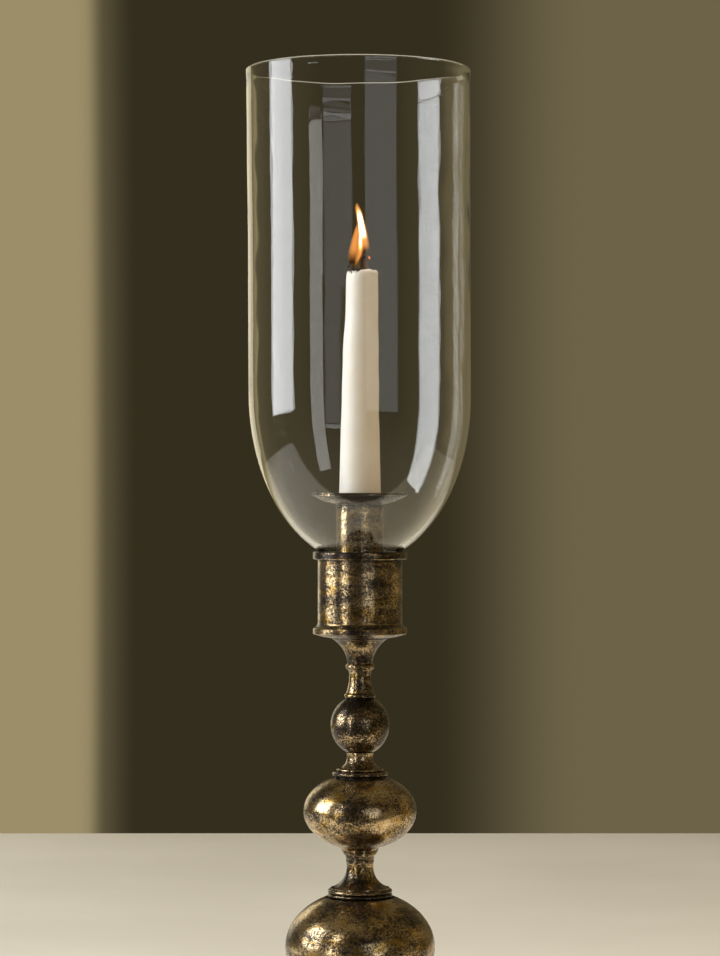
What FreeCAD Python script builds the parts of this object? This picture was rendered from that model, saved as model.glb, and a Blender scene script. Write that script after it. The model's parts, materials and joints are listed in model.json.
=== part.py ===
# Hurricane candle lantern: a turned brass candlestick that holds one dinner candle inside an open glass shade.
#
# Every metal piece is a ring or a shell turned about the Z axis, threaded on one M6 tie rod like beads on a string:
# foot, three spools and three hollow balls in turn, a waisted neck, a trumpet and the collar that the shade stands in.
# The candle's socket screws on the rod's top end and a nut under the ballast draws the stack together.
# The shade's neck stands on a cork ring inside the collar. The drip pan drops into the socket through the open top of
# the shade, and its pan is wider than the shade's neck, so a lifted shade carries pan and candle with it.
#
# Millimetres, +Z up, origin at the middle of the underside.

import FreeCAD, Part
import math
import os

# ---------------------------------------------------------------- driving dimensions
SHADE_R = 60.0  # outside radius of the glass at its rim
SHADE_WAIST_R = 59.5  # outside radius where the wall starts to close in
SHADE_WALL = 2.4
SHADE_TOP_Z = 574.0
SHADE_NECK_R = 20.9  # outside radius of the neck that stands in the collar

CANDLE_R = 11.1  # a 22 mm dinner candle
CANDLE_TIP_R = 8.6
CANDLE_TOP_Z = 466.9
WICK_R = 0.85

FOOT_R = 75.0
FOOT_TOP_Z = 47.5
LARGE_BALL_BOTTOM_Z = 76.4
LARGE_BALL_TOP_Z = 131.4
MIDDLE_BALL_BOTTOM_Z = 156.1
MIDDLE_BALL_TOP_Z = 195.4
SMALL_BALL_BOTTOM_Z = 208.6
SMALL_BALL_TOP_Z = 237.4
NECK_TOP_Z = 256.3
COLLAR_BOTTOM_Z = 269.9
COLLAR_FLOOR_Z = 280.0
COLLAR_TOP_Z = 316.1
COLLAR_R = 22.6
SOCKET_R = 12.56
SOCKET_TOP_Z = 340.5
PAN_R = 25.8
PAN_TOP_Z = 347.7

# ---------------------------------------------------------------- smaller sizes
ROD_R = 3.0  # M6
ROD_HOLE_R = 3.2
THREAD_R = ROD_R + 0.02
FELT = 1.5
METAL_WALL = 3.0
COLLAR_WALL = 1.2
SOCKET_WALL = 0.86
SOCKET_DEPTH = 30.0
FIT = 0.05  # radial gap of a part that slides in another by hand
CORK = 3.0
LIP_R = COLLAR_R + 2.6  # outside radius of the collar's two flanges


class Oval:
    """An ellipse centred on the axis at height z, with radius a across and b up."""

    def __init__(self, z, a, b):
        self.z, self.a, self.b = z, a, b

    def r_at(self, z):
        return self.a * math.sqrt(1.0 - ((z - self.z) / self.b) ** 2)

    def z_at(self, r, side):
        """Height at radius r on the upper side (+1) or the lower side (-1)."""
        return self.z + side * self.b * math.sqrt(1.0 - (r / self.a) ** 2)

    def slope_at(self, r):
        """Angle of the surface above the horizontal at radius r on the lower side."""
        return math.atan(self.b * r / self.a**2 / math.sqrt(1.0 - (r / self.a) ** 2))

    def edge(self, start, end):
        """The edge of the ellipse between two of its points."""
        across = self.a >= self.b
        tip_a, tip_b = point(self.a, self.z), point(0.0, self.z + self.b)
        curve = Part.Ellipse(*((tip_a, tip_b) if across else (tip_b, tip_a)), point(0.0, self.z))
        turns = []
        for r, z in (start, end):
            over, up = r / self.a, (z - self.z) / self.b
            turns.append(math.atan2(up, over) if across else math.atan2(over, up))
        return Part.ArcOfEllipse(curve, min(turns), max(turns)).toShape()


LARGE_BALL = Oval(105.0, 40.0, 29.9)
MIDDLE_BALL = Oval(177.4, 30.2, 20.6)
SMALL_BALL = Oval(223.3, 15.75, 16.2)
FOOT_DOME = Oval(22.5, 52.0, 27.0)
SHADE_BOWL = Oval(399.8, SHADE_WAIST_R, 90.3)
SHADE_BOWL_INSIDE = Oval(399.8, SHADE_WAIST_R - SHADE_WALL, 90.3 - SHADE_WALL)


def point(r, z):
    return FreeCAD.Vector(r, 0.0, z)


def turned(start, *steps):
    """Turns an outline in (radius, height) about Z. The outline runs with the metal on its left.

    A step is (r, z) for a straight line, (r, z, bulge) for an arc whose middle stands that far out of the metal
    (negative: hollow), or (oval, r, z) to follow an Oval. The last point joins the first by a straight line."""
    edges, at = [], start
    for step in steps:
        if isinstance(step[0], Oval):
            end = step[1:]
            edges.append(step[0].edge(at, end))
        elif len(step) == 3:
            end = step[:2]
            edges.append(arc_edge(at, end, step[2]))
        else:
            end = step
            edges.append(Part.makeLine(point(*at), point(*end)))
        at = end
    edges.append(Part.makeLine(point(*at), point(*start)))
    face = Part.Face(Part.Wire(edges))
    solid = face.revolve(FreeCAD.Vector(0, 0, 0), FreeCAD.Vector(0, 0, 1), 360)
    return solid if solid.Volume > 0 else solid.reversed()


def arc_edge(start, end, bulge):
    """The arc between two points whose middle stands off the chord by bulge, to the right of the way it runs."""
    dr, dz = end[0] - start[0], end[1] - start[1]
    chord = math.hypot(dr, dz)
    middle = ((start[0] + end[0]) / 2 + bulge * dz / chord, (start[1] + end[1]) / 2 - bulge * dr / chord)
    return Part.Arc(point(*start), point(*middle), point(*end)).toShape()


def shoulder(oval, neck_r, radius):
    """Where a fillet of that radius leaves a neck and meets the bowl above it, and the arc's bulge."""
    slope = oval.slope_at(neck_r)
    half_turn = (math.pi / 2 - slope) / 2
    reach = radius * math.tan(half_turn)
    low = (neck_r, oval.z_at(neck_r, -1) - reach)
    high_r = neck_r + reach * math.cos(slope)
    return low, (high_r, oval.z_at(high_r, -1)), radius * (1 - math.cos(half_turn))


def hollow_ball(oval, bottom_z, top_z, *bottom_steps):
    """A ball with a flat land at each end, hollow but for thick ends round the rod."""
    inside = Oval(oval.z, oval.a - METAL_WALL, oval.b - 2.2 * METAL_WALL)
    low, high = inside.z_at(ROD_HOLE_R, -1), inside.z_at(ROD_HOLE_R, 1)
    first = bottom_steps or [(oval.r_at(bottom_z), bottom_z)]
    return turned(
        (ROD_HOLE_R, bottom_z),
        *first,
        (oval, oval.a, oval.z),
        (oval, oval.r_at(top_z), top_z),
        (ROD_HOLE_R, top_z),
        (ROD_HOLE_R, high),
        (inside, inside.a, inside.z),
        (inside, ROD_HOLE_R, low),
    )


# ---------------------------------------------------------------- foot
def felt_pad():
    return Part.makeCylinder(FOOT_R - 2.5, FELT)


PLATE_R = 66.0  # the ballast's wide lower disc
PLATE_TOP_Z = 9.5


def foot():
    """Moulded foot: square edge, quarter round, hollow sweep and bead, then a dome."""
    inside = Oval(FOOT_DOME.z, FOOT_DOME.a - 3.5, FOOT_DOME.b - 3.5)
    ceiling = FOOT_TOP_Z - 6.0
    bead_z = 24.5
    bead_top = bead_z + 3.5
    return turned(
        (ROD_HOLE_R, ceiling),
        (inside.r_at(ceiling), ceiling),
        (inside, inside.r_at(bead_z), bead_z),
        (57.0, PLATE_TOP_Z),
        (PLATE_R + 0.5, PLATE_TOP_Z),
        (PLATE_R + 0.5, FELT),
        (FOOT_R - 0.8, FELT),
        (FOOT_R, FELT + 0.8, 0.23),
        (FOOT_R, 6.0),
        (FOOT_R - 1.0, 7.0, 0.29),
        (72.6, 7.0),
        (67.0, 12.1, 1.5),
        (67.0, 13.6),
        (65.4, 13.6),
        (53.0, bead_z, -3.2),
        (53.0, bead_top, 1.6),
        (FOOT_DOME.r_at(bead_top), bead_top),
        (FOOT_DOME, FOOT_DOME.r_at(FOOT_TOP_Z), FOOT_TOP_Z),
        (ROD_HOLE_R, FOOT_TOP_Z),
    )


def ballast_weight():
    """Iron casting in the foot, with a pocket underneath for the rod's nut."""
    return turned(
        (ROD_HOLE_R, PLATE_TOP_Z),
        (14.0, PLATE_TOP_Z),
        (14.0, FELT),
        (PLATE_R, FELT),
        (PLATE_R, PLATE_TOP_Z),
        (46.0, PLATE_TOP_Z),
        (44.0, 19.5),
        (ROD_HOLE_R, 19.5),
    )


WASHER = 1.6
NUT_HEIGHT = 5.2
NUT_ACROSS_CORNERS_R = 5.8
NUT_TOP_Z = PLATE_TOP_Z - WASHER


def bottom_washer():
    return turned((ROD_HOLE_R, NUT_TOP_Z), (9.0, NUT_TOP_Z), (9.0, PLATE_TOP_Z), (ROD_HOLE_R, PLATE_TOP_Z))


def bottom_nut():
    """Hexagon nut with its corners turned off at both ends."""
    low = NUT_TOP_Z - NUT_HEIGHT
    corners = []
    for i in range(6):
        turn = math.radians(60 * i)
        corners.append(FreeCAD.Vector(math.cos(turn), math.sin(turn), 0) * NUT_ACROSS_CORNERS_R)
    hexagon = Part.Face(Part.makePolygon(corners + corners[:1]))
    hexagon.translate(FreeCAD.Vector(0, 0, low))
    prism = hexagon.extrude(FreeCAD.Vector(0, 0, NUT_HEIGHT))
    corner_r, face_r = NUT_ACROSS_CORNERS_R + 0.3, NUT_ACROSS_CORNERS_R - 0.5
    blank = turned(
        (THREAD_R, low),
        (face_r, low),
        (corner_r, low + 0.5),
        (corner_r, NUT_TOP_Z - 0.5),
        (face_r, NUT_TOP_Z),
        (THREAD_R, NUT_TOP_Z),
    )
    return prism.common(blank)


ROD_BOTTOM_Z = 2.2


def tie_rod():
    rod = turned(
        (0.0, ROD_BOTTOM_Z),
        (ROD_R - 0.6, ROD_BOTTOM_Z),
        (ROD_R, ROD_BOTTOM_Z + 0.6),
        (ROD_R, PLUG_TOP_Z - 2.6),
        (ROD_R - 0.6, PLUG_TOP_Z - 2.0),
        (0.0, PLUG_TOP_Z - 2.0),
    )
    return rod


# ---------------------------------------------------------------- stem
def double_ring_spool(bottom_z, top_z, ring_r, waist_r, waist_z, flange_r):
    """Spool with two beads at its foot, a hollow flare up to the waist and a thin flange at its top."""
    bead_height = 2.2
    beads_top = bottom_z + 2 * bead_height
    wall_r = ring_r - 0.9
    flare_r = ring_r - 1.5
    flare_z = beads_top + 0.7
    bulge = -0.21 * math.hypot(flare_r - waist_r, waist_z - flare_z)
    flange_z = top_z - 1.4
    return turned(
        (ROD_HOLE_R, bottom_z),
        (wall_r, bottom_z),
        (wall_r, bottom_z + bead_height, 0.9),
        (wall_r, beads_top, 0.9),
        (flare_r, beads_top),
        (flare_r, flare_z),
        (waist_r, waist_z, bulge),
        (flange_r - 1.0, flange_z - 0.5, -0.25),
        (flange_r - 0.5, flange_z - 0.5),
        (flange_r - 0.5, flange_z),
        (flange_r, flange_z + 0.3),
        (flange_r, top_z - 0.3),
        (flange_r - 0.3, top_z),
        (ROD_HOLE_R, top_z),
    )


def lower_spool():
    return double_ring_spool(FOOT_TOP_Z, LARGE_BALL_BOTTOM_Z, 20.4, 8.7, 69.8, 10.6)


def large_ball():
    return hollow_ball(LARGE_BALL, LARGE_BALL_BOTTOM_Z, LARGE_BALL_TOP_Z)


def middle_spool():
    return double_ring_spool(LARGE_BALL_TOP_Z, MIDDLE_BALL_BOTTOM_Z, 17.25, 7.5, 150.5, 9.1)


def middle_ball():
    """Flattened ball that ends below in a short hollow neck."""
    oval_z = MIDDLE_BALL_BOTTOM_Z + 2.5
    return hollow_ball(
        MIDDLE_BALL,
        MIDDLE_BALL_BOTTOM_Z,
        MIDDLE_BALL_TOP_Z,
        (9.8, MIDDLE_BALL_BOTTOM_Z),
        (9.8, MIDDLE_BALL_BOTTOM_Z + 0.8),
        (MIDDLE_BALL.r_at(oval_z), oval_z, -0.3),
    )


def upper_spool():
    """Short spool: a wide bead and a narrow one under a hollow flare."""
    low = MIDDLE_BALL_TOP_Z
    return turned(
        (ROD_HOLE_R, low),
        (13.6, low),
        (13.6, low + 0.4),
        (13.6, low + 3.2, 1.2),
        (12.2, low + 3.2),
        (12.2, low + 3.5),
        (12.2, low + 4.7, 0.5),
        (11.9, low + 4.9),
        (7.15, low + 12.2, -1.9),
        (7.25, SMALL_BALL_BOTTOM_Z),
        (ROD_HOLE_R, SMALL_BALL_BOTTOM_Z),
    )


def small_ball():
    return hollow_ball(SMALL_BALL, SMALL_BALL_BOTTOM_Z, SMALL_BALL_TOP_Z)


def neck():
    """Waisted neck between two beads."""
    low, top = SMALL_BALL_TOP_Z, NECK_TOP_Z
    return turned(
        (ROD_HOLE_R, low),
        (7.3, low),
        (7.3, low + 0.2),
        (7.3, low + 2.9, 1.1),
        (7.4, low + 3.1),
        (5.75, low + 12.2, -0.45),
        (6.4, top - 3.4, -0.1),
        (6.7, top - 3.3),
        (6.7, top - 0.3, 1.05),
        (6.9, top),
        (ROD_HOLE_R, top),
    )


def trumpet():
    return turned(
        (ROD_HOLE_R, NECK_TOP_Z),
        (6.75, NECK_TOP_Z),
        (14.4, COLLAR_BOTTOM_Z - 0.8, -1.7),
        (14.9, COLLAR_BOTTOM_Z - 0.5),
        (14.9, COLLAR_BOTTOM_Z),
        (ROD_HOLE_R, COLLAR_BOTTOM_Z),
    )


# ---------------------------------------------------------------- collar
TUBE_BOTTOM_Z = COLLAR_FLOOR_Z - 2.4
RING_HEIGHT = 4.2
COLLAR_BORE_R = COLLAR_R - COLLAR_WALL


def collar_base():
    """Floor of the collar, with a square-edged flange and a spigot that the collar's tube fits over."""
    edge_z = COLLAR_BOTTOM_Z + 2.4
    return turned(
        (ROD_HOLE_R, COLLAR_BOTTOM_Z),
        (15.6, COLLAR_BOTTOM_Z),
        (LIP_R - 0.5, edge_z - 0.4, 0.3),
        (LIP_R, edge_z),
        (LIP_R, edge_z + 2.7),
        (LIP_R - 0.4, edge_z + 3.1),
        (COLLAR_R + 0.1, TUBE_BOTTOM_Z, -0.35),
        (COLLAR_BORE_R, TUBE_BOTTOM_Z),
        (COLLAR_BORE_R, COLLAR_FLOOR_Z),
        (ROD_HOLE_R, COLLAR_FLOOR_Z),
    )


def collar_tube():
    top = COLLAR_TOP_Z - RING_HEIGHT
    return turned((COLLAR_BORE_R, TUBE_BOTTOM_Z), (COLLAR_R, TUBE_BOTTOM_Z), (COLLAR_R, top), (COLLAR_BORE_R, top))


def collar_ring():
    """Lip of the collar, bored with a cone that the shade's shoulder drops into."""
    low = COLLAR_TOP_Z - RING_HEIGHT
    return turned(
        (COLLAR_BORE_R, low),
        (LIP_R - 0.4, low),
        (LIP_R, low + 0.4),
        (LIP_R, COLLAR_TOP_Z - 0.9),
        (LIP_R - 0.9, COLLAR_TOP_Z, 0.26),
        (COLLAR_BORE_R + 1.8, COLLAR_TOP_Z),
        (COLLAR_BORE_R, COLLAR_TOP_Z - 1.8),
    )


def shade_seat_ring():
    """Loose cork ring on the collar's floor, which the shade's neck stands on."""
    low, top, inner, outer = COLLAR_FLOOR_Z, COLLAR_FLOOR_Z + CORK, 16.2, COLLAR_BORE_R - 0.3
    return turned((inner, low), (outer, low), (outer, top), (inner, top))


# ---------------------------------------------------------------- candle socket
SOCKET_BORE_R = SOCKET_R - SOCKET_WALL
PLUG_TOP_Z = COLLAR_FLOOR_Z + 10.0
CANDLE_FOOT_Z = SOCKET_TOP_Z - SOCKET_DEPTH


def socket_tube():
    return turned(
        (SOCKET_BORE_R, COLLAR_FLOOR_Z),
        (SOCKET_R, COLLAR_FLOOR_Z),
        (SOCKET_R, SOCKET_TOP_Z - 0.3),
        (SOCKET_R - 0.3, SOCKET_TOP_Z, 0.09),
        (SOCKET_BORE_R, SOCKET_TOP_Z),
    )


def socket_plug():
    """Threaded plug in the tube's lower end, which screws on the tie rod."""
    return turned(
        (THREAD_R, COLLAR_FLOOR_Z),
        (SOCKET_BORE_R, COLLAR_FLOOR_Z),
        (SOCKET_BORE_R, PLUG_TOP_Z),
        (THREAD_R, PLUG_TOP_Z),
    )


def candle_rest():
    disc = Part.makeCylinder(SOCKET_BORE_R, 1.5)
    disc.translate(FreeCAD.Vector(0, 0, CANDLE_FOOT_Z - 1.5))
    return disc


def drip_pan():
    """Spun pan with a raised edge, on a thin spigot that slides into the socket round the candle."""
    bore_r, spigot_r = CANDLE_R + FIT, SOCKET_BORE_R - FIT
    return turned(
        (bore_r, SOCKET_TOP_Z - 12.0),
        (spigot_r, SOCKET_TOP_Z - 12.0),
        (spigot_r, SOCKET_TOP_Z),
        (12.2, SOCKET_TOP_Z),
        (12.2, SOCKET_TOP_Z + 0.8),
        (PAN_R - 1.0, PAN_TOP_Z - 1.8, 0.7),
        (PAN_R, PAN_TOP_Z - 1.3),
        (PAN_R, PAN_TOP_Z - 0.4),
        (PAN_R - 0.8, PAN_TOP_Z - 0.4, 0.4),
        (PAN_R - 1.6, PAN_TOP_Z - 0.9),
        (13.0, SOCKET_TOP_Z + 2.0, -0.8),
        (bore_r, SOCKET_TOP_Z + 2.0),
    )


# ---------------------------------------------------------------- candle
def candle():
    """Dinner candle burnt part of the way down: a straight end in the socket, a taper and a dished top."""
    bore_r = WICK_R + FIT
    return turned(
        (bore_r, CANDLE_FOOT_Z),
        (CANDLE_R - 0.6, CANDLE_FOOT_Z),
        (CANDLE_R, CANDLE_FOOT_Z + 0.6),
        (CANDLE_R, PAN_TOP_Z),
        (CANDLE_TIP_R, CANDLE_TOP_Z - 1.0),
        (CANDLE_TIP_R - 1.0, CANDLE_TOP_Z, 0.3),
        (bore_r, CANDLE_TOP_Z - 1.6, -0.5),
    )


HOOK_R = 2.2  # radius of the bend in the wick's burnt end


def wick():
    """Wick through the whole candle, its burnt end bent over towards +X."""
    bend_z = CANDLE_TOP_Z + 4.6
    straight = Part.makeCylinder(WICK_R, bend_z - CANDLE_FOOT_Z)
    straight.translate(FreeCAD.Vector(0, 0, CANDLE_FOOT_Z))
    end = Part.Face(Part.Wire(Part.makeCircle(WICK_R, FreeCAD.Vector(0, 0, bend_z))))
    bend = end.revolve(FreeCAD.Vector(HOOK_R, 0, bend_z), FreeCAD.Vector(0, 1, 0), 160)
    return straight.fuse(bend).removeSplitter()


# ---------------------------------------------------------------- shade
def glass_shade():
    """Blown glass, open at both ends: a straight wall, a bowl and a neck, with melted round edges."""
    inner_neck_r = SHADE_NECK_R - SHADE_WALL
    lip = SHADE_WALL / 2
    foot_z = COLLAR_FLOOR_Z + CORK
    low_out, high_out, bulge_out = shoulder(SHADE_BOWL, SHADE_NECK_R, 3.0)
    low_in, high_in, bulge_in = shoulder(SHADE_BOWL_INSIDE, inner_neck_r, 5.0)
    return turned(
        (inner_neck_r, foot_z + lip),
        (SHADE_NECK_R, foot_z + lip, lip),
        low_out,
        (*high_out, -bulge_out),
        (SHADE_BOWL, SHADE_WAIST_R, SHADE_BOWL.z),
        (SHADE_R, SHADE_TOP_Z - lip),
        (SHADE_R - SHADE_WALL, SHADE_TOP_Z - lip, lip),
        (SHADE_WAIST_R - SHADE_WALL, SHADE_BOWL.z),
        (SHADE_BOWL_INSIDE, *high_in),
        (*low_in, bulge_in),
    )


PIECES = [
    felt_pad,
    foot,
    ballast_weight,
    bottom_washer,
    bottom_nut,
    tie_rod,
    lower_spool,
    large_ball,
    middle_spool,
    middle_ball,
    upper_spool,
    small_ball,
    neck,
    trumpet,
    collar_base,
    collar_tube,
    collar_ring,
    shade_seat_ring,
    socket_tube,
    socket_plug,
    candle_rest,
    drip_pan,
    candle,
    wick,
    glass_shade,
]


def main():
    os.makedirs("parts", exist_ok=True)
    for piece in PIECES:
        shape = piece()
        if not shape.isValid() or len(shape.Solids) != 1:
            raise ValueError(f"{piece.__name__} isn't one valid solid")
        shape.Solids[0].exportStep(f"parts/{piece.__name__}.step")
        print(f"{piece.__name__:18s} {shape.Volume / 1000:8.2f} cm3")


main()
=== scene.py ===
"""Looks, light and camera of the hurricane candle lantern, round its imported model.

Metres, +Z up, the origin in the middle of the foot's underside. The camera looks along +Y, with +X to its
right. The brass, cork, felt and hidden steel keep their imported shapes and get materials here. The glass, the
candle and the wick are built again in more detail, and the crumbs of char and the flame are new."""

import json
import math

import bmesh
import bpy
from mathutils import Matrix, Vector, noise


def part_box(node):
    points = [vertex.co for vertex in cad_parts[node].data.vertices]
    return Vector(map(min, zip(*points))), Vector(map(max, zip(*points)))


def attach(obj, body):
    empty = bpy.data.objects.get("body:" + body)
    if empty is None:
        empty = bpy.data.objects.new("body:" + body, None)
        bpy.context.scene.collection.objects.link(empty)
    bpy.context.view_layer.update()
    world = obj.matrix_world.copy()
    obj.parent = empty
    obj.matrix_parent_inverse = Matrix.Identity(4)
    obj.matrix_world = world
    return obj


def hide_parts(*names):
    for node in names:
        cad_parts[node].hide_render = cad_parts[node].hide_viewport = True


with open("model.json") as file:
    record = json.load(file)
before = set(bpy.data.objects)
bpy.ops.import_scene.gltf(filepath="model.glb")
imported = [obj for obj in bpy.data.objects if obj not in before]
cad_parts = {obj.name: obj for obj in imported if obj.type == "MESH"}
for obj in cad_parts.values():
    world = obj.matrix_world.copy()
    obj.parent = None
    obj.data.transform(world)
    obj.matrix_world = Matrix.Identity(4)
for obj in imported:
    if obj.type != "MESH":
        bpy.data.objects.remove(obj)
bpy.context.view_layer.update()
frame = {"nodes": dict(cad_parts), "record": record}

MM = 0.001

# ---------------------------------------------------------------- places taken from the frame
SHADE_LOW, SHADE_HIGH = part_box("glass_shade")
WICK_LOW, WICK_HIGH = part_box("wick")
COLLAR_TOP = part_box("collar_ring")[1].z
CANDLE_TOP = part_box("candle")[1].z
PAN_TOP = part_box("drip_pan")[1].z

# ---------------------------------------------------------------- camera
CAMERA_DISTANCE = 1.684
CAMERA_HEIGHT = 0.351
AIM_HEIGHT = 0.3553
LENS = 118.6  # mm
SENSOR_WIDTH = 36.0  # mm


def make_camera():
    camera = bpy.data.objects.new("camera", bpy.data.cameras.new("camera"))
    bpy.context.scene.collection.objects.link(camera)
    camera.data.lens = LENS
    camera.data.sensor_width = SENSOR_WIDTH
    camera.location = (0, -CAMERA_DISTANCE, CAMERA_HEIGHT)
    aim = Vector((0, 0, AIM_HEIGHT)) - camera.location
    camera.rotation_euler = aim.to_track_quat("-Z", "Y").to_euler()
    bpy.context.scene.camera = camera


# ---------------------------------------------------------------- material graphs
# Sockets of a Mix node: its factor, then its two inputs and its result, for colours and for plain numbers.
MIX_FACTOR = 0
COLOUR_A, COLOUR_B, MIXED_COLOUR = 6, 7, 2
NUMBER_A, NUMBER_B, MIXED_NUMBER = 2, 3, 0


class Graph:
    """A material's node tree, with short calls for the nodes that it is made of."""

    def __init__(self, name):
        self.material = bpy.data.materials.new(name)
        self.material.use_nodes = True
        self.tree = self.material.node_tree
        self.tree.nodes.clear()
        self.output = self.tree.nodes.new("ShaderNodeOutputMaterial")
        self.place = self.node("ShaderNodeTexCoord").outputs["Object"]

    def node(self, kind, inputs=None, **settings):
        made = self.tree.nodes.new(kind)
        for key, value in settings.items():
            setattr(made, key, value)
        for key, value in (inputs or {}).items():
            self.feed(made.inputs[key], value)
        return made

    def feed(self, socket, value):
        if isinstance(value, bpy.types.NodeSocket):
            self.tree.links.new(value, socket)
        elif socket.type == "RGBA" and len(value) == 3:
            socket.default_value = (*value, 1.0)
        else:
            socket.default_value = value

    def math(self, operation, *values):
        made = self.node("ShaderNodeMath", operation=operation)
        for socket, value in zip(made.inputs, values):
            self.feed(socket, value)
        return made.outputs[0]

    def mix(self, factor, a, b):
        """Colour a where factor is 0, and colour b where it is 1."""
        inputs = {MIX_FACTOR: factor, COLOUR_A: a, COLOUR_B: b}
        return self.node("ShaderNodeMix", inputs, data_type="RGBA").outputs[MIXED_COLOUR]

    def blend(self, factor, a, b):
        """Number a where factor is 0, and number b where it is 1."""
        inputs = {MIX_FACTOR: factor, NUMBER_A: a, NUMBER_B: b}
        return self.node("ShaderNodeMix", inputs, data_type="FLOAT").outputs[MIXED_NUMBER]

    def step(self, value, low, high):
        """0 at low, 1 at high, with a smooth turn between. low may be more than high."""
        inputs = {"Value": value, "From Min": low, "From Max": high}
        return self.node("ShaderNodeMapRange", inputs, interpolation_type="SMOOTHSTEP").outputs["Result"]

    def noise(self, size, detail=3.0, rough=0.5, seed=0.0, place=None, squeeze=None):
        """Noise whose lumps are about size metres across. squeeze scales the three directions."""
        place = place or self.place
        if squeeze:
            place = self.node("ShaderNodeMapping", {"Vector": place, "Scale": squeeze}).outputs[0]
        inputs = {"Vector": place, "Scale": 1.0 / size, "Detail": detail, "Roughness": rough, "W": seed}
        return self.node("ShaderNodeTexNoise", inputs, noise_dimensions="4D").outputs["Fac"]

    def split(self):
        """Object coordinates as x, y, z sockets."""
        return self.node("ShaderNodeSeparateXYZ", {"Vector": self.place}).outputs[:3]

    def radius(self):
        x, y, _ = self.split()
        flat = self.node("ShaderNodeCombineXYZ", {"X": x, "Y": y}).outputs[0]
        return self.node("ShaderNodeVectorMath", {0: flat}, operation="LENGTH").outputs["Value"]

    def bump(self, height, depth, normal=None):
        """Relief of that depth in metres, where height runs from 0 to 1."""
        inputs = {"Height": height, "Distance": depth, "Strength": 1.0}
        if normal:
            inputs["Normal"] = normal
        return self.node("ShaderNodeBump", inputs).outputs[0]

    def surface(self, **inputs):
        """A Principled shader. An input's name has spaces for underscores."""
        named = {key.replace("_", " "): value for key, value in inputs.items()}
        shader = self.node("ShaderNodeBsdfPrincipled", named)
        self.tree.links.new(shader.outputs[0], self.output.inputs["Surface"])
        return shader


# ---------------------------------------------------------------- metal
GOLD = (0.80, 0.61, 0.35)
DEEP_GOLD = (0.60, 0.37, 0.07)
BROWN = (0.22, 0.155, 0.085)
PATINA = (0.020, 0.015, 0.011)
CREVICE_REACH = 5 * MM
EDGE_REACH = 0.7 * MM
CREVICE_SAMPLES = 6
EDGE_SAMPLES = 3
FLATTENED = (1, 1, 2.2)  # the patina's clouds are wider than they are high
LINE_PITCH = 0.45 * MM  # the lathe's fine lines
LINE_DEPTH = 0.012 * MM


def antique_brass(name, seed, age=0.0):
    """Old gilt brass: bright where hands rub it, brown-black in clouds, specks, grooves and corners.

    age moves its balance of gold and black: 0.1 is much blacker than 0."""
    g = Graph(name)
    clouds = g.noise(17 * MM, 3.0, 0.5, seed, squeeze=FLATTENED)
    blotches = g.noise(5.0 * MM, 4.0, 0.65, seed + 3.1, squeeze=FLATTENED)
    specks = g.noise(1.1 * MM, 3.0, 0.7, seed + 7.7)
    grains = g.noise(0.5 * MM, 2.0, 0.6, seed + 9.2)
    open_sky = g.node("ShaderNodeAmbientOcclusion", {"Distance": CREVICE_REACH}, samples=CREVICE_SAMPLES)
    crevice = g.step(open_sky.outputs["AO"], 0.92, 0.45)
    rounded = g.node("ShaderNodeBevel", {"Radius": EDGE_REACH}, samples=EDGE_SAMPLES).outputs[0]
    sharp = g.node("ShaderNodeNewGeometry").outputs["Normal"]
    along = g.node("ShaderNodeVectorMath", {0: rounded, 1: sharp}, operation="DOT_PRODUCT").outputs["Value"]
    edge = g.step(along, 0.995, 0.90)

    dirt = age
    textures = ((clouds, 0.70), (blotches, 0.30), (specks, 0.62), (grains, 1.15))
    for layer, weight in (*textures, (crevice, 0.40), (edge, -0.22)):
        dirt = g.math("MULTIPLY_ADD", layer, weight, dirt)
    brown = g.step(dirt, 1.18, 1.45)
    dark = g.step(dirt, 1.31, 1.43)

    warm = g.step(g.noise(9 * MM, 3.0, 0.5, seed + 11.3, squeeze=FLATTENED), 0.48, 0.66)
    colour = g.mix(warm, GOLD, DEEP_GOLD)
    colour = g.mix(g.math("MULTIPLY", brown, 0.8), colour, BROWN)
    colour = g.mix(dark, colour, PATINA)

    _, _, z = g.split()
    turned = g.node("ShaderNodeCombineXYZ", {"X": g.radius(), "Y": z}).outputs[0]
    normal = g.bump(g.noise(LINE_PITCH, 2.0, 0.6, seed, place=turned), LINE_DEPTH)
    normal = g.bump(clouds, 0.07 * MM, normal)
    normal = g.bump(specks, 0.020 * MM, normal)
    g.surface(
        Base_Color=colour,
        Metallic=g.blend(dark, 1.0, 0.7),
        Roughness=g.math("MULTIPLY_ADD", blotches, 0.12, g.blend(dark, 0.15, 0.21)),
        Normal=normal,
    )
    return g.material


def zinc_steel():
    g = Graph("zinc_steel")
    spangle = g.noise(2.5 * MM, 3.0)
    scratches = g.noise(0.6 * MM, 2.0, squeeze=(1, 1, 0.05))
    colour = g.mix(g.step(spangle, 0.35, 0.65), (0.50, 0.51, 0.52), (0.66, 0.66, 0.64))
    rough = g.math("MULTIPLY_ADD", scratches, 0.2, 0.25)
    g.surface(Base_Color=colour, Metallic=1.0, Roughness=rough, Normal=g.bump(scratches, 0.02 * MM))
    return g.material


def cast_iron():
    g = Graph("cast_iron")
    sand = g.noise(0.9 * MM, 4.0, 0.65)
    rust = g.step(g.noise(14 * MM, 4.0), 0.55, 0.75)
    colour = g.mix(rust, (0.070, 0.068, 0.066), (0.15, 0.07, 0.035))
    rough = g.blend(rust, 0.55, 0.85)
    metal = g.blend(rust, 0.8, 0.1)
    g.surface(Base_Color=colour, Metallic=metal, Roughness=rough, Normal=g.bump(sand, 0.25 * MM))
    return g.material


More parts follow.
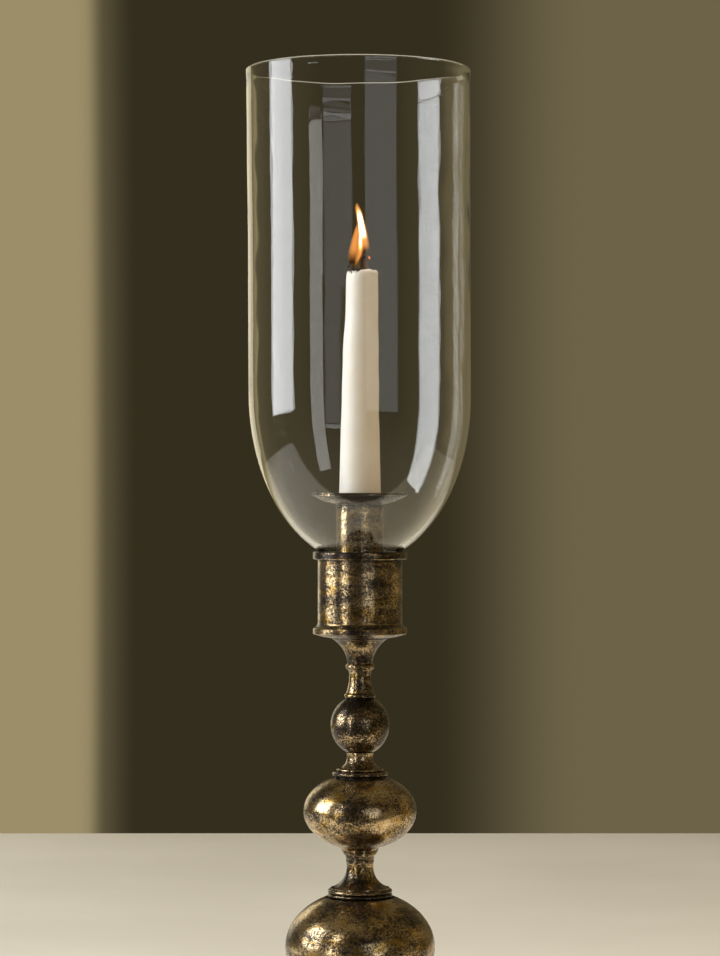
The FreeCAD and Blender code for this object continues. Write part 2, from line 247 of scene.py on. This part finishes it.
# ---------------------------------------------------------------- soft and light materials
def pressed_cork():
    g = Graph("pressed_cork")
    grains = g.node("ShaderNodeTexVoronoi", {"Vector": g.place, "Scale": 1 / (1.1 * MM)})
    shade = g.node("ShaderNodeSeparateColor", {"Color": grains.outputs["Color"]}).outputs[0]
    colour = g.mix(shade, (0.30, 0.17, 0.08), (0.55, 0.37, 0.21))
    g.surface(Base_Color=colour, Roughness=0.85, Normal=g.bump(grains.outputs["Distance"], 0.2 * MM))
    return g.material


def pressed_felt():
    g = Graph("pressed_felt")
    fibres = g.noise(0.5 * MM, 5.0, 0.7, squeeze=(1, 1, 0.3))
    lumps = g.noise(5 * MM, 3.0)
    colour = g.mix(fibres, (0.020, 0.055, 0.032), (0.06, 0.14, 0.085))
    g.surface(
        Base_Color=g.mix(g.math("MULTIPLY", lumps, 0.5), colour, (0.05, 0.10, 0.06)),
        Roughness=0.95,
        Sheen_Weight=0.5,
        Sheen_Roughness=0.6,
        Normal=g.bump(fibres, 0.35 * MM),
    )
    return g.material


def candle_wax():
    """Ivory wax: mottled a little, glossy where it has melted, sooty beside the wick's fallen char."""
    g = Graph("candle_wax")
    x, _, z = g.split()
    clouds = g.noise(12 * MM, 3.0)
    grain = g.noise(0.9 * MM, 4.0)
    melted = g.step(z, CANDLE_TOP - 5 * MM, CANDLE_TOP - 1 * MM)
    near_rim = g.step(z, CANDLE_TOP - 2.6 * MM, CANDLE_TOP - 0.6 * MM)
    left = g.step(x, 0.5 * MM, -4 * MM)
    smuts = g.step(g.noise(1.5 * MM, 4.0, 0.7), 0.44, 0.60)
    soot = g.math("MULTIPLY", g.math("MULTIPLY", near_rim, left), smuts)
    colour = g.mix(g.step(clouds, 0.3, 0.7), (0.78, 0.735, 0.67), (0.75, 0.69, 0.61))
    colour = g.mix(g.math("MULTIPLY", melted, 0.4), colour, (0.80, 0.75, 0.69))
    colour = g.mix(g.math("MULTIPLY", soot, 0.9), colour, (0.035, 0.025, 0.018))
    normal = g.bump(grain, 0.03 * MM)
    normal = g.bump(clouds, 0.10 * MM, normal)
    g.surface(
        Base_Color=colour,
        Roughness=g.math("MULTIPLY_ADD", grain, 0.12, g.blend(melted, 0.40, 0.18)),
        Subsurface_Weight=0.45,
        Subsurface_Radius=(1.0, 0.65, 0.35),
        Subsurface_Scale=3 * MM,
        Normal=normal,
    )
    return g.material


def burnt_wick(name, char_start):
    """Cotton, cream in the wax, charred above the height char_start, glowing at the bent-over end."""
    g = Graph(name)
    x, _, z = g.split()
    fibres = g.noise(0.25 * MM, 4.0, 0.7, squeeze=(1, 1, 0.4))
    charred = g.step(z, char_start, char_start + 2.6 * MM)
    cotton = g.mix(fibres, (0.55, 0.48, 0.36), (0.80, 0.74, 0.62))
    char = g.mix(fibres, (0.010, 0.008, 0.007), (0.055, 0.045, 0.040))
    glow = g.math("MULTIPLY", g.step(x, WICK_HIGH.x - 1.3 * MM, WICK_HIGH.x - 0.2 * MM), charred)
    g.surface(
        Base_Color=g.mix(charred, cotton, char),
        Roughness=0.92,
        Normal=g.bump(fibres, 0.12 * MM),
        Emission_Color=(1.0, 0.22, 0.05),
        Emission_Strength=g.math("MULTIPLY", glow, g.math("MULTIPLY", fibres, 2.4)),
    )
    return g.material


def blown_glass():
    """Clear glass with a breath of green, slight cords in its wall, and a film of dust low in the bowl."""
    g = Graph("blown_glass")
    _, _, z = g.split()
    cords = g.noise(26 * MM, 2.0, 0.4, squeeze=(1, 1, 0.3))
    low_down = g.step(z, SHADE_LOW.z + 90 * MM, SHADE_LOW.z + 20 * MM)
    film = g.math("MULTIPLY", g.noise(7 * MM, 5.0, 0.6), low_down)
    glass = g.surface(
        Base_Color=g.mix(cords, (0.980, 0.990, 0.982), (0.990, 0.996, 0.990)),
        Roughness=g.math("MULTIPLY", film, 0.05),
        IOR=1.5,
        Transmission_Weight=1.0,
        Normal=g.bump(cords, 0.05 * MM),
    )
    clear = g.node("ShaderNodeBsdfTransparent", {"Color": (0.95, 0.96, 0.95)})
    shadow = g.node("ShaderNodeLightPath").outputs["Is Shadow Ray"]
    choice = g.node("ShaderNodeMixShader", {0: shadow, 1: glass.outputs[0], 2: clear.outputs[0]})
    g.tree.links.new(choice.outputs[0], g.output.inputs["Surface"])
    return g.material


# ---------------------------------------------------------------- meshes
def add_piece(name, bm, material, body):
    mesh = bpy.data.meshes.new(name)
    bmesh.ops.recalc_face_normals(bm, faces=bm.faces)
    bm.to_mesh(mesh)
    bm.free()
    mesh.materials.append(material)
    mesh.polygons.foreach_set("use_smooth", [True] * len(mesh.polygons))
    piece = bpy.data.objects.new(name, mesh)
    bpy.context.scene.collection.objects.link(piece)
    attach(piece, body)
    return piece


def add_lathe(bm, outline, segments, shift):
    """Adds the surface that a closed outline of (radius, height) points sweeps round the axis.

    shift(point, angle) says where each point goes."""
    rings = []
    for r, z in outline:
        ring = []
        for i in range(segments):
            turn = math.tau * i / segments
            at = Vector((r * math.cos(turn), r * math.sin(turn), z))
            ring.append(bm.verts.new(shift(at, turn)))
        rings.append(ring)
    for low, high in zip(rings, rings[1:] + rings[:1]):
        for i in range(segments):
            j = (i + 1) % segments
            bm.faces.new((low[i], low[j], high[j], high[i]))


def add_tube(bm, path, radii, segments):
    """Adds a tube along the points of path, with a radius at each, closed at both ends."""
    rings = []
    side = Vector((0, 1, 0))
    for i, (at, radius) in enumerate(zip(path, radii)):
        along = (path[min(i + 1, len(path) - 1)] - path[max(i - 1, 0)]).normalized()
        across = side.cross(along).normalized()
        side = along.cross(across).normalized()
        ring = []
        for k in range(segments):
            turn = math.tau * k / segments
            ring.append(bm.verts.new(at + radius * (math.cos(turn) * across + math.sin(turn) * side)))
        rings.append(ring)
    for low, high in zip(rings, rings[1:]):
        for k in range(segments):
            m = (k + 1) % segments
            bm.faces.new((low[k], low[m], high[m], high[k]))
    bm.faces.new(rings[0])
    bm.faces.new(rings[-1])


def wobble(at, size, seed=0.0):
    """Smooth noise from -1 to 1 at a point."""
    return noise.noise(Vector((at.x / size, at.y / size, at.z / size + seed)))


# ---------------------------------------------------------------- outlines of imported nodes
SAME_PLACE = 1e-7
SEAM_DIGITS = 7


def seam_outline(node):
    """The closed outline of a turned and bored node as (radius, height) points.

    It is read from the node's mesh, where that crosses the XZ plane at +X."""
    mesh = frame["nodes"][node].data
    on_plane = (v for v in mesh.vertices if v.co.x > 0 and abs(v.co.y) < SAME_PLACE)
    seam = {v.index: (round(v.co.x, SEAM_DIGITS), round(v.co.z, SEAM_DIGITS)) for v in on_plane}
    links = {point: set() for point in seam.values()}
    for edge in mesh.edges:
        a, b = (seam.get(i) for i in edge.vertices)
        if a and b and a != b:
            links[a].add(b)
            links[b].add(a)
    outline = [min(links, key=lambda point: (point[1], point[0]))]
    while True:
        near = sorted(links[outline[-1]])
        onward = [point for point in near if point not in outline[-2:] and point != outline[0]]
        if not onward or onward[0] in outline:
            return outline
        outline.append(onward[0])


def divided(outline, longest):
    """The closed outline with points added, so that no side is longer than longest."""
    points = []
    for (r0, z0), (r1, z1) in zip(outline, outline[1:] + outline[:1]):
        steps = max(1, math.ceil(math.hypot(r1 - r0, z1 - z0) / longest))
        points += [(r0 + (r1 - r0) * i / steps, z0 + (z1 - z0) * i / steps) for i in range(steps)]
    return points


def heading(degrees):
    """The level direction at so many degrees from +X towards +Y."""
    return Vector((math.cos(math.radians(degrees)), math.sin(math.radians(degrees)), 0))


def rise(value, low, high):
    """0 below low, 1 above high, and a smooth climb between."""
    share = min(max((value - low) / (high - low), 0.0), 1.0)
    return share * share * (3 - 2 * share)


# ---------------------------------------------------------------- glass shade
GLASS_SEGMENTS = 224
SWELL = 0.30 * MM  # how far the blown wall strays from round
CORD = 0.05 * MM  # unevenness of its thickness
RIM_SWELL = 0.22 * MM  # how much the fire-polished rim thickens each way
SHADE_LEAN = 1.1 * MM  # how far its top stands off the axis, for it sits loose in the collar
SHADE_LEAN_START = COLLAR_TOP + 50 * MM


def glass_shade():
    """The shade, a little uneven in its radius and its wall as blown glass is, and leaning a little to -X."""
    outline = divided(seam_outline("glass_shade"), 3 * MM)
    wall_middle = (SHADE_HIGH.x + min(r for r, z in outline if z > SHADE_HIGH.z - 20 * MM)) / 2

    def blown(at, turn):
        out = Vector((math.cos(turn), math.sin(turn), 0))
        free = rise(at.z, COLLAR_TOP, COLLAR_TOP + 40 * MM)
        side = 1 if math.hypot(at.x, at.y) > wall_middle else -1
        stray = SWELL * wobble(at, 75 * MM) + CORD * side * wobble(at, 16 * MM, 9.0)
        lip = RIM_SWELL * side * rise(at.z, SHADE_HIGH.z - 7 * MM, SHADE_HIGH.z - 2 * MM)
        moved = at + out * (free * stray + lip)
        moved.x -= SHADE_LEAN * max(0.0, at.z - SHADE_LEAN_START) / (SHADE_HIGH.z - SHADE_LEAN_START)
        return moved

    bm = bmesh.new()
    add_lathe(bm, outline, GLASS_SEGMENTS, blown)
    piece = add_piece("blown_shade", bm, blown_glass(), "shade")
    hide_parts("glass_shade")


# ---------------------------------------------------------------- candle, wick and flame
CANDLE_SEGMENTS = 160
CANDLE_STEP = 1.0 * MM
LEAN = 0.9 * MM  # how far the warm candle's top has leaned to +X
DIPPED_STRAY = 0.16 * MM  # how far the dipped side strays from round, in the large
DIPPED_GRAIN = 0.05 * MM  # and in the small
MELT_STRAY = 0.5 * MM  # how unevenly the rim has melted, apart from its notches
WARM_REACH = 60 * MM  # how much of the candle the flame has softened
WARM_LEAN = 0.3 * MM  # how much further that part has leaned
RIM_DROP = 0.7 * MM  # how far the rim has melted down
DRIP_LIP = 0.50 * MM  # how far a run of wax stands out under the rim
DRIP_HEADING = -25
STRANDS = 3
STRAND_SEGMENTS = 9
STRAND_RADIUS = 0.42 * MM
STRAND_PITCH = 2.3 * MM
BEND_RADIUS = 2.2 * MM
BEND_HEIGHT = WICK_HIGH.z - BEND_RADIUS - 0.85 * MM  # where the wick starts to bend over
BEND_TURN = math.radians(150)
WICK_STEP = 0.5 * MM
CHAR_DEPTH = 2.2 * MM  # how far below the candle's top the char starts


def lean(z):
    return LEAN * rise(z, PAN_TOP, 2 * CANDLE_TOP - PAN_TOP) * 2


# Notches melted in the rim: direction and half width in degrees, and depth in mm. A depth below 0 is a lip.
NOTCHES = [
    (196, 9, 0.9),
    (214, 7, 1.7),
    (233, 8, 0.9),
    (251, 6, 1.2),
    (120, 16, 0.8),
    (35, 20, 0.5),
    (300, 12, -0.4),
]


def candle_wax_body():
    """The candle leans a little, its side is dipped rather than turned, and its rim has melted unevenly."""
    outline = divided(seam_outline("candle"), CANDLE_STEP)

    def dipped(at, turn):
        out = Vector((math.cos(turn), math.sin(turn), 0))
        free = rise(at.z, PAN_TOP, PAN_TOP + 12 * MM)
        rim = rise(at.z, CANDLE_TOP - 5 * MM, CANDLE_TOP)
        outside = rise(math.hypot(at.x, at.y), 4 * MM, 8 * MM)
        stray = DIPPED_STRAY * wobble(at, 26 * MM) + DIPPED_GRAIN * wobble(at, 6 * MM, 4.0)
        melt = MELT_STRAY * noise.noise(Vector((2.2 * out.x, 2.2 * out.y, 3.0)))
        for direction, half, depth in NOTCHES:
            off = math.degrees(math.acos(max(-1.0, min(1.0, out.dot(heading(direction))))))
            melt -= depth * MM * math.exp(-((off / half) ** 2))
        below = (CANDLE_TOP - at.z) / MM
        facing = max(0.0, out.dot(heading(DRIP_HEADING)))
        lip = DRIP_LIP * math.exp(-(((below - 1.9) / 1.1) ** 2)) * facing**2
        warm = rise(at.z, CANDLE_TOP - WARM_REACH, CANDLE_TOP)
        drawn_in = (0.30 * rim + 0.25 * warm) * MM
        moved = at + out * (free * outside * stray - outside * drawn_in + outside * lip)
        moved.x += lean(at.z) + WARM_LEAN * warm
        moved.z += outside * (rim * melt - RIM_DROP * rim)
        return moved

    bm = bmesh.new()
    add_lathe(bm, outline, CANDLE_SEGMENTS, dipped)
    piece = add_piece("dipped_candle", bm, candle_wax(), "taper")
    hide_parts("candle")


def wick_line():
    """Points along the middle of the wick, WICK_STEP apart, from the candle's foot to the burnt end."""
    points = []
    z = WICK_LOW.z
    while z < BEND_HEIGHT:
        points.append(Vector((lean(z), 0, z)))
        z += WICK_STEP
    turns = int(BEND_RADIUS * BEND_TURN / WICK_STEP)
    for i in range(turns + 1):
        turn = BEND_TURN * i / turns
        x = lean(BEND_HEIGHT) + BEND_RADIUS * (1 - math.cos(turn))
        points.append(Vector((x, 0, BEND_HEIGHT + BEND_RADIUS * math.sin(turn))))
    return points


def braided_wick():
    """Twisted strands, which thin and crumble where they have burnt."""
    line = wick_line()
    bm = bmesh.new()
    for strand in range(STRANDS):
        path, radii = [], []
        for i, at in enumerate(line):
            along = (line[min(i + 1, len(line) - 1)] - line[max(i - 1, 0)]).normalized()
            side = Vector((0, 1, 0))
            across = side.cross(along)
            turn = math.tau * (strand / STRANDS + i * WICK_STEP / STRAND_PITCH)
            burnt = rise(at.z, CANDLE_TOP - 1 * MM, CANDLE_TOP + 4 * MM)
            reach = STRAND_RADIUS * (1 - 0.15 * burnt)
            end = rise(len(line) - 1 - i, -1, 3)
            path.append(at + reach * (math.cos(turn) * across + math.sin(turn) * side))
            crumble = 1 + 0.28 * burnt * noise.noise(Vector((i * 0.8, strand * 9.0, 1.0)))
            radii.append(STRAND_RADIUS * crumble * (0.35 + 0.65 * end))
        add_tube(bm, path, radii, STRAND_SEGMENTS)
    material = burnt_wick("burnt_wick", CANDLE_TOP - CHAR_DEPTH)
    piece = add_piece("twisted_wick", bm, material, "taper")
    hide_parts("wick")


CRUMBS = 46
CRUMBS_START, CRUMBS_APART = 158, 2.45  # in degrees
CRUMBS_RADIUS = 6.0  # how far from the axis they lie at least, in mm
CRUMB_ROUGHNESS = 1900  # waves per metre
HEAP_MARGIN = 8  # the heap thins out as if it went on for so many crumbs past each end


def char_crumbs():
    """Bits of burnt wick that have dropped on the melted rim, on the side away from the bend."""
    bm = bmesh.new()
    for i in range(CRUMBS):
        chance = [noise.cell(Vector((i * 1.31, k * 2.7, 0.5))) for k in range(4)]
        heap = math.sin(math.pi * (i + HEAP_MARGIN) / (CRUMBS + 2 * HEAP_MARGIN))
        size = (0.30 + 0.42 * chance[1] ** 2) * MM
        at = heading(CRUMBS_START + CRUMBS_APART * i) * (CRUMBS_RADIUS + 1.9 * chance[0]) * MM
        at.x += lean(CANDLE_TOP)
        at.z = CANDLE_TOP + (-0.5 + 2.9 * chance[2] * heap) * MM
        made = bmesh.ops.create_icosphere(bm, subdivisions=2, radius=size)
        for vertex in made["verts"]:
            rough = 1 + 0.5 * noise.noise(vertex.co * CRUMB_ROUGHNESS + Vector((i * 4.0, 0, 0)))
            stretch = Vector((1 + chance[3], 1 + chance[1], 0.8 + 0.5 * chance[0]))
            vertex.co = at + Vector(c * rough * k for c, k in zip(vertex.co, stretch))
    add_piece("wick_crumbs", bm, burnt_wick("wick_char", WICK_LOW.z), "taper")


# Each lobe of the flame, from foot to tip: height above the candle's top, left edge and right edge, in mm.
TONGUE = [
    (1.0, -3.0, 0.5),
    (4.5, -2.5, 1.8),
    (8.0, -1.9, 4.6),
    (11.0, -1.6, 4.8),
    (14.1, -1.4, 4.5),
    (18.2, -1.2, 3.95),
    (22.2, -1.3, 3.2),
    (26.3, -1.7, 2.25),
    (30.4, -2.25, 1.15),
    (33.4, -2.7, -0.25),
    (35.4, -1.9, -1.5),
]
SIDE_LOBE = [
    (0.0, -7.2, -1.9),
    (3.5, -7.0, -1.3),
    (7.5, -6.5, -0.9),
    (11.0, -5.7, -0.7),
    (14.5, -4.8, -0.6),
    (18.2, -3.8, -0.5),
    (22.0, -2.6, -0.8),
    (24.6, -1.7, -1.5),
]
GAS_LAYERS = ("hotness", "glow", "veil")
FLAME_SHELLS = 5
THINNEST_GAS = 0.01  # gas thinner than this is left out
FLAME_ROWS = 48
FLAME_SEGMENTS = 40


def smooth_row(rows, share):
    """A row of a lobe at a share of the way up, on a smooth curve through the given rows."""
    at = share * (len(rows) - 1)
    i = min(int(at), len(rows) - 2)
    t = at - i
    a, b, c, d = (rows[min(max(i + k, 0), len(rows) - 1)] for k in (-1, 0, 1, 2))
    return [
        0.5 * (2 * q + (r - p) * t + (2 * p - 5 * q + 4 * r - s) * t**2 + (3 * q - p - 3 * r + s) * t**3)
        for p, q, r, s in zip(a, b, c, d)
    ]


def tongue_gas(height, across, inward):
    """Heat, glow and thickness of the gas in the main tongue. across runs from 0 at its left edge to 1."""
    upper = rise(height, 13, 20) * (1 - 0.75 * rise(height, 27, 35))
    left_line = rise(height, 5, 16) * (1 - rise(across, 0.25, 0.60)) * (1 - rise(height, 16, 22))
    hot = rise(inward, 0.0, 0.75) * max(upper, left_line)
    right = rise(across, 0.30, 0.55)
    foot = rise(height, 0, 6) * (1 - right) + rise(height, 8, 14) * right
    return hot, foot**0.3, (0.13 + 0.55 * hot) * foot**2


def lobe_gas(height, across, inward):
    """Heat, glow and thickness of the dimmer gas in the side lobe, which smokes at its foot."""
    return 0.30 * inward, 0.10 + 0.90 * rise(height, 3, 12), (0.06 + 0.12 * inward) * rise(height, 1, 12)


def flame():
    """Nested skins of glowing gas, faint outside and bright within, for a soft edge from every side."""
    bm = bmesh.new()
    layers = [bm.verts.layers.float.new(name) for name in GAS_LAYERS]
    for rows, gas in ((TONGUE, tongue_gas), (SIDE_LOBE, lobe_gas)):
        for shell in range(FLAME_SHELLS):
            inward = shell / (FLAME_SHELLS - 1)
            rings = []
            for row in range(FLAME_ROWS + 1):
                share = row / FLAME_ROWS
                height, left, right = smooth_row(rows, share * (1 - 0.13 * inward))
                closing = math.sqrt(min(1.0, (1 - share) * 8)) if shell else 1.0
                half = max(0.02, (right - left) / 2) * (1.06 - 0.66 * inward) * max(closing, 0.02)
                middle = (left + right) / 2
                ring = []
                for k in range(FLAME_SEGMENTS):
                    turn = math.tau * k / FLAME_SEGMENTS
                    x, y = middle + half * math.cos(turn), 0.9 * half * math.sin(turn)
                    vertex = bm.verts.new((x * MM, y * MM, CANDLE_TOP + height * MM))
                    across = (x - left) / max(0.05, right - left)
                    for layer, value in zip(layers, gas(height, across, inward)):
                        vertex[layer] = value
                    ring.append(vertex)
                rings.append(ring)
            for low, high in zip(rings, rings[1:]):
                for k in range(FLAME_SEGMENTS):
                    m = (k + 1) % FLAME_SEGMENTS
                    corners = (low[k], low[m], high[m], high[k])
                    if max(corner[layers[2]] for corner in corners) > THINNEST_GAS:
                        bm.faces.new(corners)
    bmesh.ops.delete(bm, geom=[v for v in bm.verts if not v.link_faces], context="VERTS")
    add_piece("flame", bm, burning_gas(), "taper")


def burning_gas():
    """Light without a surface: orange where it is thin, near white within, and dark where it smokes."""
    g = Graph("burning_gas")
    heat, glow, veil = (
        g.node("ShaderNodeAttribute", attribute_name=name).outputs["Fac"] for name in GAS_LAYERS
    )
    colour = g.mix(g.step(heat, 0.25, 0.85), (1.0, 0.36, 0.07), (1.0, 0.86, 0.50))
    strength = g.math("MULTIPLY", glow, g.blend(g.step(heat, 0.2, 1.0), 1.30, 6.0))
    g.surface(
        Base_Color=(0.01, 0.008, 0.006),
        Roughness=1.0,
        Specular_IOR_Level=0.0,
        Emission_Color=colour,
        Emission_Strength=strength,
        Alpha=veil,
    )
    return g.material


# ---------------------------------------------------------------- materials on imported nodes
# These pieces come out blacker than the rest, by the amount given.
BRASS_AGE = {
    "collar_ring": 0.12,
    "collar_base": 0.06,
    "drip_pan": 0.15,
    "trumpet": 0.08,
    "small_ball": 0.08,
    "middle_spool": 0.07,
    "lower_spool": 0.04,
}


def paint(node, material):
    mesh = frame["nodes"][node].data
    mesh.materials.clear()
    mesh.materials.append(material)
    mesh.polygons.foreach_set("material_index", [0] * len(mesh.polygons))


def paint_packed_nodes():
    slots = {row["node"]: row["material_slot"] for row in frame["record"]["subparts"]}
    shared = {"steel": zinc_steel(), "iron": cast_iron(), "cork": pressed_cork(), "felt": pressed_felt()}
    for seed, node in enumerate(sorted(frame["nodes"])):
        if slots[node] == "antique_brass":
            paint(node, antique_brass(f"antique_brass_{node}", 1.7 * seed, BRASS_AGE.get(node, 0.0)))
        elif slots[node] in shared:
            paint(node, shared[slots[node]])


# ---------------------------------------------------------------- stage and light
FLOOR_SIDE = 1.3
FLOOR_FRONT = -0.27
FLOOR_BACK = 1.5
FLOOR_CORNER = 0.15
CORNER_STEPS = 24


def pale_floor():
    """A plain table top of pale plaster with rounded corners. Its front is short, for the bowl mirrors it."""
    g = Graph("pale_plaster")
    clouds = g.noise(0.30, 4.0)
    grain = g.noise(3 * MM, 4.0, 0.6)
    colour = g.mix(g.step(clouds, 0.3, 0.7), (0.76, 0.73, 0.66), (0.84, 0.81, 0.74))
    g.surface(Base_Color=colour, Roughness=0.75, Normal=g.bump(grain, 0.15 * MM))
    right = FLOOR_SIDE - FLOOR_CORNER
    front = FLOOR_FRONT + FLOOR_CORNER
    back = FLOOR_BACK - FLOOR_CORNER
    bm = bmesh.new()
    edge = []
    for corner, (x, y) in enumerate(((right, back), (-right, back), (-right, front), (right, front))):
        for i in range(CORNER_STEPS + 1):
            out = heading(90 * (corner + i / CORNER_STEPS))
            edge.append(bm.verts.new(Vector((x, y, 0)) + FLOOR_CORNER * out))
    bm.faces.new(edge)
    mesh = bpy.data.meshes.new("floor")
    bm.to_mesh(mesh)
    bm.free()
    mesh.materials.append(g.material)
    floor = bpy.data.objects.new("floor", mesh)
    bpy.context.scene.collection.objects.link(floor)


def softbox(name, place, width, tall, radiance, colour=(1, 1, 1), aim=None, **seen):
    """A rectangular light at a place, facing the lantern's axis or another aim.

    radiance is how bright its face looks. seen says which rays may see it: glossy=False for one that
    nothing mirrors."""
    light = bpy.data.lights.new(name, "AREA")
    light.shape = "RECTANGLE"
    light.size, light.size_y = width, tall
    light.energy = radiance * math.pi * width * tall
    light.color = colour
    lamp = bpy.data.objects.new(name, light)
    lamp.location = place
    facing = Vector(aim or (0, 0, place[2])) - lamp.location
    lamp.rotation_euler = facing.to_track_quat("-Z", "Y").to_euler()
    lamp.visible_camera = False
    for ray, may_see in seen.items():
        setattr(lamp, f"visible_{ray}", may_see)
    bpy.context.scene.collection.objects.link(lamp)
    return lamp


def hide_from(lamp, piece_name):
    """Keeps a light off one piece."""
    unlit = bpy.data.collections.new(f"{lamp.name}_unlit")
    lamp.light_linking.receiver_collection = unlit
    unlit.objects.link(bpy.data.objects[piece_name])
    unlit.collection_objects[0].light_linking.link_state = "EXCLUDE"


def around(azimuth, distance, height):
    """A place at so many degrees from the camera's side of the lantern, positive to the right."""
    turn = math.radians(azimuth)
    return (distance * math.sin(turn), -distance * math.cos(turn), height)


LEFT_WINDOW, LEFT_WIDTH, LEFT_TALL = (-1.5, -0.10, 0.86), 0.80, 1.24
RIGHT_WINDOW, RIGHT_DISTANCE, RIGHT_WIDTH = 23, 1.6, 0.92
DAYLIGHT = (0.92, 0.95, 1.0)


def make_lights():
    """The left window is two lights: one that brass and glass mirror, and one that falls on wax and floor."""
    unseen = {"glossy": False, "transmission": False}
    softbox("strip_left", LEFT_WINDOW, LEFT_WIDTH, LEFT_TALL, 6.0, (0.96, 0.975, 1.0), diffuse=False)
    softbox("key_left", LEFT_WINDOW, LEFT_WIDTH, LEFT_TALL, 8.5, (0.84, 0.90, 1.0), **unseen)
    panes = around(RIGHT_WINDOW, RIGHT_DISTANCE, 0.485)
    softbox("window_right", panes, RIGHT_WIDTH, 0.57, 0.68, DAYLIGHT, diffuse=False)
    head = around(RIGHT_WINDOW, RIGHT_DISTANCE, 0.82)
    softbox("window_head", head, RIGHT_WIDTH, 0.06, 1.6, DAYLIGHT, diffuse=False)
    # The low light gives the balls their second highlight. In the glass it would show as a small patch.
    low = around(27, 1.1, 0.06)
    core = softbox("low_core", low, 0.24, 0.11, 2.8, (1.0, 0.97, 0.93), diffuse=False, transmission=False)
    hide_from(core, "blown_shade")
    softbox("slit_left", around(-42, 0.55, 0.31), 0.13, 0.57, 3.0, (1.0, 0.97, 0.92), transmission=False)
    softbox("ceiling", (0, -0.1, 2.2), 1.2, 1.2, 6.4, (1.0, 0.93, 0.80), (0, 0, 0), **unseen)
    cream = around(-152, 1.9, 0.60)
    softbox("cream_back_left", cream, 0.75, 1.0, 1.1, (1.0, 0.93, 0.76), transmission=False)
    softbox("warm_fill", around(40, 1.6, 0.60), 1.0, 1.1, 2.6, (1.0, 0.62, 0.22), **unseen)
    softbox("warm_right", around(112, 1.9, 0.50), 1.0, 1.1, 0.12, (1.0, 0.70, 0.25), transmission=False)


WALL_DARK = (0.034, 0.027, 0.013)
WALL_MID = (0.152, 0.124, 0.066)
WALL_LIGHT = (0.33, 0.27, 0.14)
WALL_FRONT = (0.060, 0.051, 0.034)
FLOOR_GLOW = (0.22, 0.19, 0.135)
NEAR_WALL_REACH = 0.45
# Where the surroundings change tone, as the low and high ends of steps in the direction's x, y and z.
BEHIND = (0.82, 0.92)
LIGHT_WALL = (-0.080, -0.086)
DARK_LEFT = (-0.090, -0.070)
DARK_RIGHT = (0.072, 0.022)
IN_FRONT = (-0.35, -0.85)
BELOW = (-0.05, -0.60)
NOT_BEHIND = (0.9, 0.7)


def olive_world():
    """Plain olive surroundings with a dark band straight behind the lantern."""
    world = bpy.data.worlds.new("olive")
    world.use_nodes = True
    bpy.context.scene.world = world
    tree = world.node_tree

    def node(kind, **settings):
        made = tree.nodes.new(kind)
        for key, value in settings.items():
            setattr(made, key, value)
        return made

    def step(value, low, high):
        made = node("ShaderNodeMapRange", interpolation_type="SMOOTHSTEP")
        tree.links.new(value, made.inputs["Value"])
        made.inputs["From Min"].default_value = low
        made.inputs["From Max"].default_value = high
        return made.outputs["Result"]

    def times(a, b):
        made = node("ShaderNodeMath", operation="MULTIPLY")
        tree.links.new(a, made.inputs[0])
        tree.links.new(b, made.inputs[1])
        return made.outputs[0]

    def blend(factor, a, b):
        made = node("ShaderNodeMix", data_type="RGBA")
        tree.links.new(factor, made.inputs[MIX_FACTOR])
        for socket, value in ((made.inputs[COLOUR_A], a), (made.inputs[COLOUR_B], b)):
            if isinstance(value, tuple):
                socket.default_value = (*value, 1)
            else:
                tree.links.new(value, socket)
        return made.outputs[MIXED_COLOUR]

    direction = node("ShaderNodeTexCoord").outputs["Generated"]
    split = node("ShaderNodeSeparateXYZ")
    tree.links.new(direction, split.inputs[0])
    x, y, z = split.outputs
    # The walls stand near, so the glass bends a ray across less of them than it would far away.
    straight = node("ShaderNodeLightPath").outputs["Is Camera Ray"]
    reach = node("ShaderNodeMapRange")
    tree.links.new(straight, reach.inputs["Value"])
    reach.inputs["To Min"].default_value = NEAR_WALL_REACH
    x = times(x, reach.outputs["Result"])

    ahead = step(y, *BEHIND)
    light = times(step(x, *LIGHT_WALL), ahead)
    dark = times(times(step(x, *DARK_LEFT), step(x, *DARK_RIGHT)), ahead)
    colour = blend(step(y, *IN_FRONT), WALL_MID, WALL_FRONT)
    colour = blend(light, colour, WALL_LIGHT)
    colour = blend(dark, colour, WALL_DARK)
    low = times(step(z, *BELOW), step(y, *NOT_BEHIND))
    colour = blend(low, colour, FLOOR_GLOW)
    tree.links.new(colour, tree.nodes["Background"].inputs["Color"])


make_camera()
paint_packed_nodes()
glass_shade()
candle_wax_body()
braided_wick()
char_crumbs()
flame()
pale_floor()
make_lights()
olive_world()
bpy.context.scene.view_settings.view_transform = "Standard"
